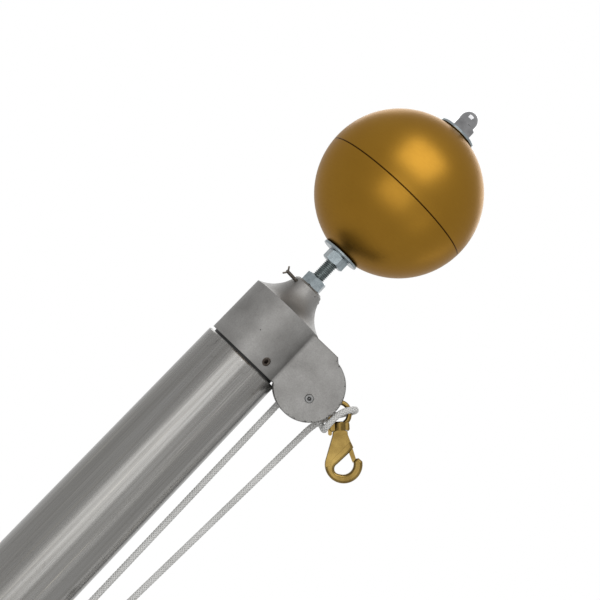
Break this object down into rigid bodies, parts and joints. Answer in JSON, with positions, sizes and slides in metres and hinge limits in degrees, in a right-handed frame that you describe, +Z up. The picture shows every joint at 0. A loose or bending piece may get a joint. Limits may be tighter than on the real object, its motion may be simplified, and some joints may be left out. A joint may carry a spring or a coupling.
{
  "type": "flagpole head",
  "caption": "Top of a cone-tapered flagpole: revolving truck with one sheave, ball finial on a threaded rod, halyard and brass swivel snap.",
  "frame": {"origin": "centre of the tube's cut lower end", "axes": "+Z up the pole, +X towards the sheave"},
  "size_m": [0.2213, 0.1508, 0.6806],
  "materials": {
    "tube": "brushed lengthways",
    "plug": "machined",
    "washer_black": "matt",
    "casting": "satin, sand cast",
    "dark_screw": "dark",
    "axle": "riveted",
    "sheave": "moulded",
    "zinc": "zinc plated",
    "dark_steel": "bright, dark reflections",
    "gold": "satin gold anodised",
    "rope": "braided polyester",
    "brass": "polished, dulled"
  },
  "bodies": {
    "pole": {"pole_tube": "tube", "spigot_plug": "plug", "thrust_washer": "washer_black"},
    "truck": {"truck_casting": "casting", "set_screw_1": "dark_screw", "set_screw_2": "dark_screw", "set_screw_3": "dark_screw", "sheave_axle": "axle", "finial_rod": "zinc", "boss_nut": "zinc", "ball_nut": "zinc", "lower_ball_washer": "zinc", "upper_ball_washer": "zinc", "dome_nut": "dark_steel", "ball_lower_bowl": "gold", "ball_upper_bowl": "gold", "cotter_pin": "zinc", "halyard": "rope", "inner_fall_knot": "rope", "outer_fall_knot": "rope"},
    "sheave_wheel": {"sheave": "sheave"},
    "eye": {"snap_eye": "brass"},
    "hook": {"snap_hook": "brass", "gate_pin": "brass"},
    "gate": {"snap_gate": "brass"}
  },
  "joints": [
    {"name": "truck_turn", "type": "hinge", "parent": "pole", "child": "truck", "pos_m": [0, 0, 0.38], "axis": [0, 0, 1], "continuous": true},
    {"name": "sheave_spin", "type": "hinge", "parent": "truck", "child": "sheave_wheel", "pos_m": [0.0672, 0, 0.3942], "axis": [0, 1, 0], "continuous": true},
    {"name": "snap_swing", "type": "hinge", "parent": "truck", "child": "eye", "pos_m": [0.0963, -0.0058, 0.403], "axis": [0, -1, 0], "range_deg": [0, 25]},
    {"name": "snap_swivel", "type": "hinge", "parent": "eye", "child": "hook", "pos_m": [0.0963, -0.0058, 0.403], "axis": [-0.7218, 0, 0.6921], "continuous": true},
    {"name": "gate_open", "type": "hinge", "parent": "hook", "child": "gate", "pos_m": [0.11735, -0.0058, 0.39099], "axis": [0, 1, 0], "range_deg": [0, 22], "stiffness_Nm_per_rad": 0.05, "springref_deg": -11.46}
  ]
}
